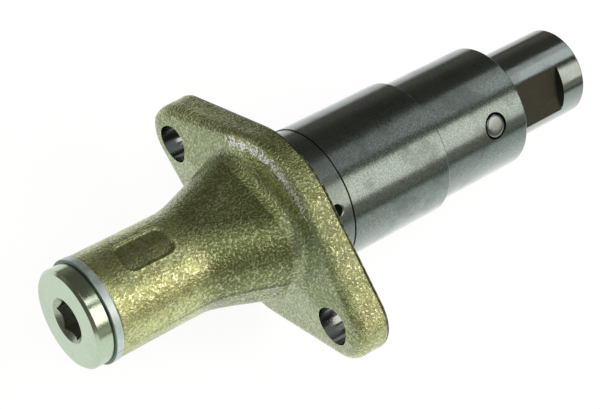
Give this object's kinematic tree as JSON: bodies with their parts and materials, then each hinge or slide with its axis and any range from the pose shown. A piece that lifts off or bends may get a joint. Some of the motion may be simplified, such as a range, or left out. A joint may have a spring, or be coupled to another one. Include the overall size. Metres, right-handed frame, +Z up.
{
  "type": "timing chain tensioner",
  "caption": "Hydraulic timing chain tensioner: cast housing with a two-bolt flange, ground guide sleeve, sprung plunger with a stop pin, and a check valve behind it.",
  "frame": {"origin": "midway between the bolt holes, on the flange's mating face", "axes": "+X along the plunger towards its tip, Y along the two bolt holes, +Z up, the side of the recessed panel; the plunger's axis runs 1 mm along +Y and 1 mm along +Z beside the origin"},
  "size_m": [0.159, 0.0836, 0.051],
  "materials": {
    "plated_casting": "rough sand casting, yellow zinc plating",
    "plated_steel": "bright zinc plated, turned",
    "soft_aluminium": "matt, pressed",
    "ground_steel": "ground, satin",
    "pin_steel": "turned, satin",
    "polished_steel": "fine ground and polished",
    "spring_steel": "drawn wire, oiled",
    "black_plastic": "moulded",
    "turned_steel": "turned",
    "seal_rubber": "moulded",
    "ball_steel": "polished",
    "pressed_steel": "pressed sheet"
  },
  "bodies": {
    "housing": {"housing": "plated_casting", "screw_plug": "plated_steel", "plug_seal_ring": "soft_aluminium", "cylinder_sleeve": "ground_steel", "stop_pin": "pin_steel", "main_spring": "spring_steel", "valve_seat": "turned_steel", "valve_seal": "seal_rubber", "ball_cage": "pressed_steel", "ball_spring": "spring_steel"},
    "plunger": {"plunger": "polished_steel", "filler_pin": "black_plastic"},
    "check_ball": {"check_ball": "ball_steel"}
  },
  "joints": [
    {"name": "plunger_slide", "type": "slide", "parent": "housing", "child": "plunger", "axis": [1, 0, 0], "range_m": [-0.0262, 0], "stiffness_N_per_m": 1200, "springref_m": 0.03, "deforming": ["main_spring"]},
    {"name": "check_ball_lift", "type": "slide", "parent": "housing", "child": "check_ball", "axis": [1, 0, 0], "range_m": [0, 0.0008], "stiffness_N_per_m": 40, "springref_m": -0.003, "deforming": ["ball_spring"]}
  ]
}
